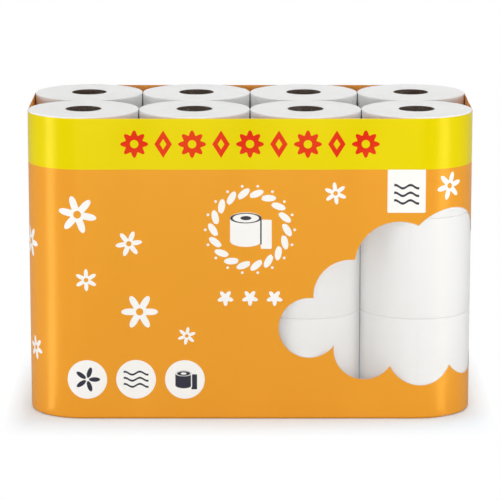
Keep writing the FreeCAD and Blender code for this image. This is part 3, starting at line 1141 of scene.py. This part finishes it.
def make_floor_material():
    """A white floor that shows the pack's shadow close to it, and lights the pack like a pale one.

    The film's gloss meets the plain pale floor, because the white one would veil its colours.
    """
    shader = Shader("floor")
    bounced = shader.add("ShaderNodeBsdfDiffuse", None, {"Color": FLOOR_BOUNCE})
    lit = shader.add("ShaderNodeBsdfDiffuse", None, {"Color": FLOOR_NEAR})
    glow = shader.add("ShaderNodeEmission", None, {"Strength": FLOOR_GLOW})
    near = shader.add("ShaderNodeAddShader", None, (lit, glow))
    white = shader.add("ShaderNodeEmission", None, {"Strength": 1.0})
    share = 1.0
    for axis, edge, reach in ((0, FILM_HIGH[0], PALE_BESIDE), (1, FILM_HIGH[1], PALE_BEFORE)):
        apart = abs(shader.object_axis(axis)) - edge
        share = apart.math("MULTIPLY_ADD", -1 / reach, 1, clamp=True) * share
    seen = shader.add("ShaderNodeMixShader", None, (share, white, near))
    to_camera = any_ray(shader, CAMERA_RAY, TRANSMISSION_RAY)
    surface = shader.add("ShaderNodeMixShader", None, (to_camera, bounced, seen))
    shader.connect(shader.tree.nodes["Material Output"].inputs["Surface"], surface)
    return shader.owner


def make_world(light):
    """A world that is seen as white and lights the pack evenly from all round."""
    shader = Shader("studio", "worlds")
    soft = shader.add("ShaderNodeBackground", None, {"Color": (1, 1, 1), "Strength": light})
    white = shader.add("ShaderNodeBackground", None, {"Color": (1, 1, 1), "Strength": 1.0})
    seen = any_ray(shader, CAMERA_RAY, GLOSSY_RAY, TRANSMISSION_RAY)
    surface = shader.add("ShaderNodeMixShader", None, (seen, soft, white))
    shader.connect(shader.tree.nodes["World Output"].inputs["Surface"], surface)
    return shader.owner


def add_area_light(name, place, target, width, height, watts):
    lamp = bpy.data.lights.new(name, "AREA")
    lamp.shape = "RECTANGLE"
    lamp.size = width
    lamp.size_y = height
    lamp.energy = watts
    holder = bpy.data.objects.new(name, lamp)
    holder.location = place
    holder.rotation_euler = (Vector(target) - Vector(place)).to_track_quat("-Z", "Y").to_euler()
    holder.visible_camera = False
    bpy.context.collection.objects.link(holder)
    return holder


def add_foot_lights(box, stripe, width, brightness):
    """Narrow lights on the floor, from the stripe that a side box leaves on a round corner of the
    film to the box itself. Gloss alone sees them, and they carry the stripe down to the ground."""
    away = box.location.xy - Vector(stripe)
    for near, far in zip(FOOT_STEPS, FOOT_STEPS[1:]):
        share = (near + far) / 2
        size = (width * share, away.length * (far - near))
        spot = Vector(stripe) + away * share
        lamp = add_area_light(
            f"{box.name}_foot", (*spot, 0.001), (*spot, 1), *size, brightness * size[0] * size[1]
        )
        lamp.rotation_euler = (math.pi, 0, math.atan2(away.x, -away.y))
        lamp.visible_diffuse = False


class SCENE_OT_set_stage(bpy.types.Operator):
    """Add the floor, the lights, the world and the camera"""

    bl_idname = "scene.pack_set_stage"
    bl_label = "Set Stage"

    def execute(self, context):
        settings = context.scene.pack_stage
        bm = bmesh.new()
        bmesh.ops.create_grid(bm, x_segments=1, y_segments=1, size=FLOOR_HALF_SIZE)
        mesh = bpy.data.meshes.new("floor")
        bm.to_mesh(mesh)
        bm.free()
        mesh.materials.append(make_floor_material())
        floor = bpy.data.objects.new("floor", mesh)
        context.collection.objects.link(floor)

        for name, (place, target, width, height, watts) in BOXES.items():
            box = add_area_light(name, place, target, width, height, watts)
            if name in STRIPES:
                add_foot_lights(box, STRIPES[name], width, watts / (width * height))

        context.scene.world = make_world(settings.world_light)

        camera = bpy.data.cameras.new("camera")
        camera.lens = settings.lens
        camera.clip_end = 60
        holder = bpy.data.objects.new("camera", camera)
        holder.location = (0, -settings.camera_distance, settings.camera_height)
        holder.rotation_euler = (math.pi / 2 - settings.camera_pitch, 0, 0)
        context.collection.objects.link(holder)
        context.scene.camera = holder
        context.scene.view_settings.view_transform = "Standard"
        return {"FINISHED"}


class VIEW3D_PT_roll_pack(bpy.types.Panel):
    """Lists what the roll pack is made of"""

    bl_label = "Roll Pack"
    bl_space_type = "VIEW_3D"
    bl_region_type = "UI"
    bl_category = "Roll Pack"

    def draw(self, context):
        for operator in OPERATORS:
            self.layout.operator(operator.bl_idname)


SETTINGS = {
    "pack_rolls": RollSettings,
    "pack_film": FilmSettings,
    "pack_print": PrintSettings,
    "pack_stage": StageSettings,
}
OPERATORS = (
    OBJECT_OT_add_rolls,
    OBJECT_OT_add_cores,
    OBJECT_OT_add_film,
    OBJECT_OT_add_top,
    OBJECT_OT_add_base,
    OBJECT_OT_add_seam,
    SCENE_OT_set_stage,
)


def register():
    for cls in (*SETTINGS.values(), *OPERATORS, VIEW3D_PT_roll_pack):
        bpy.utils.register_class(cls)
    for name, group in SETTINGS.items():
        setattr(bpy.types.Scene, name, PointerProperty(type=group))


def unregister():
    for name in SETTINGS:
        delattr(bpy.types.Scene, name)
    for cls in (VIEW3D_PT_roll_pack, *reversed(OPERATORS), *SETTINGS.values()):
        bpy.utils.unregister_class(cls)


def main():
    register()
    bpy.ops.object.pack_add_rolls()
    bpy.ops.object.pack_add_cores()
    bpy.ops.object.pack_add_film()
    bpy.ops.object.pack_add_top()
    bpy.ops.object.pack_add_base()
    bpy.ops.object.pack_add_seam()
    bpy.ops.scene.pack_set_stage()


if __name__ == "__main__":
    main()
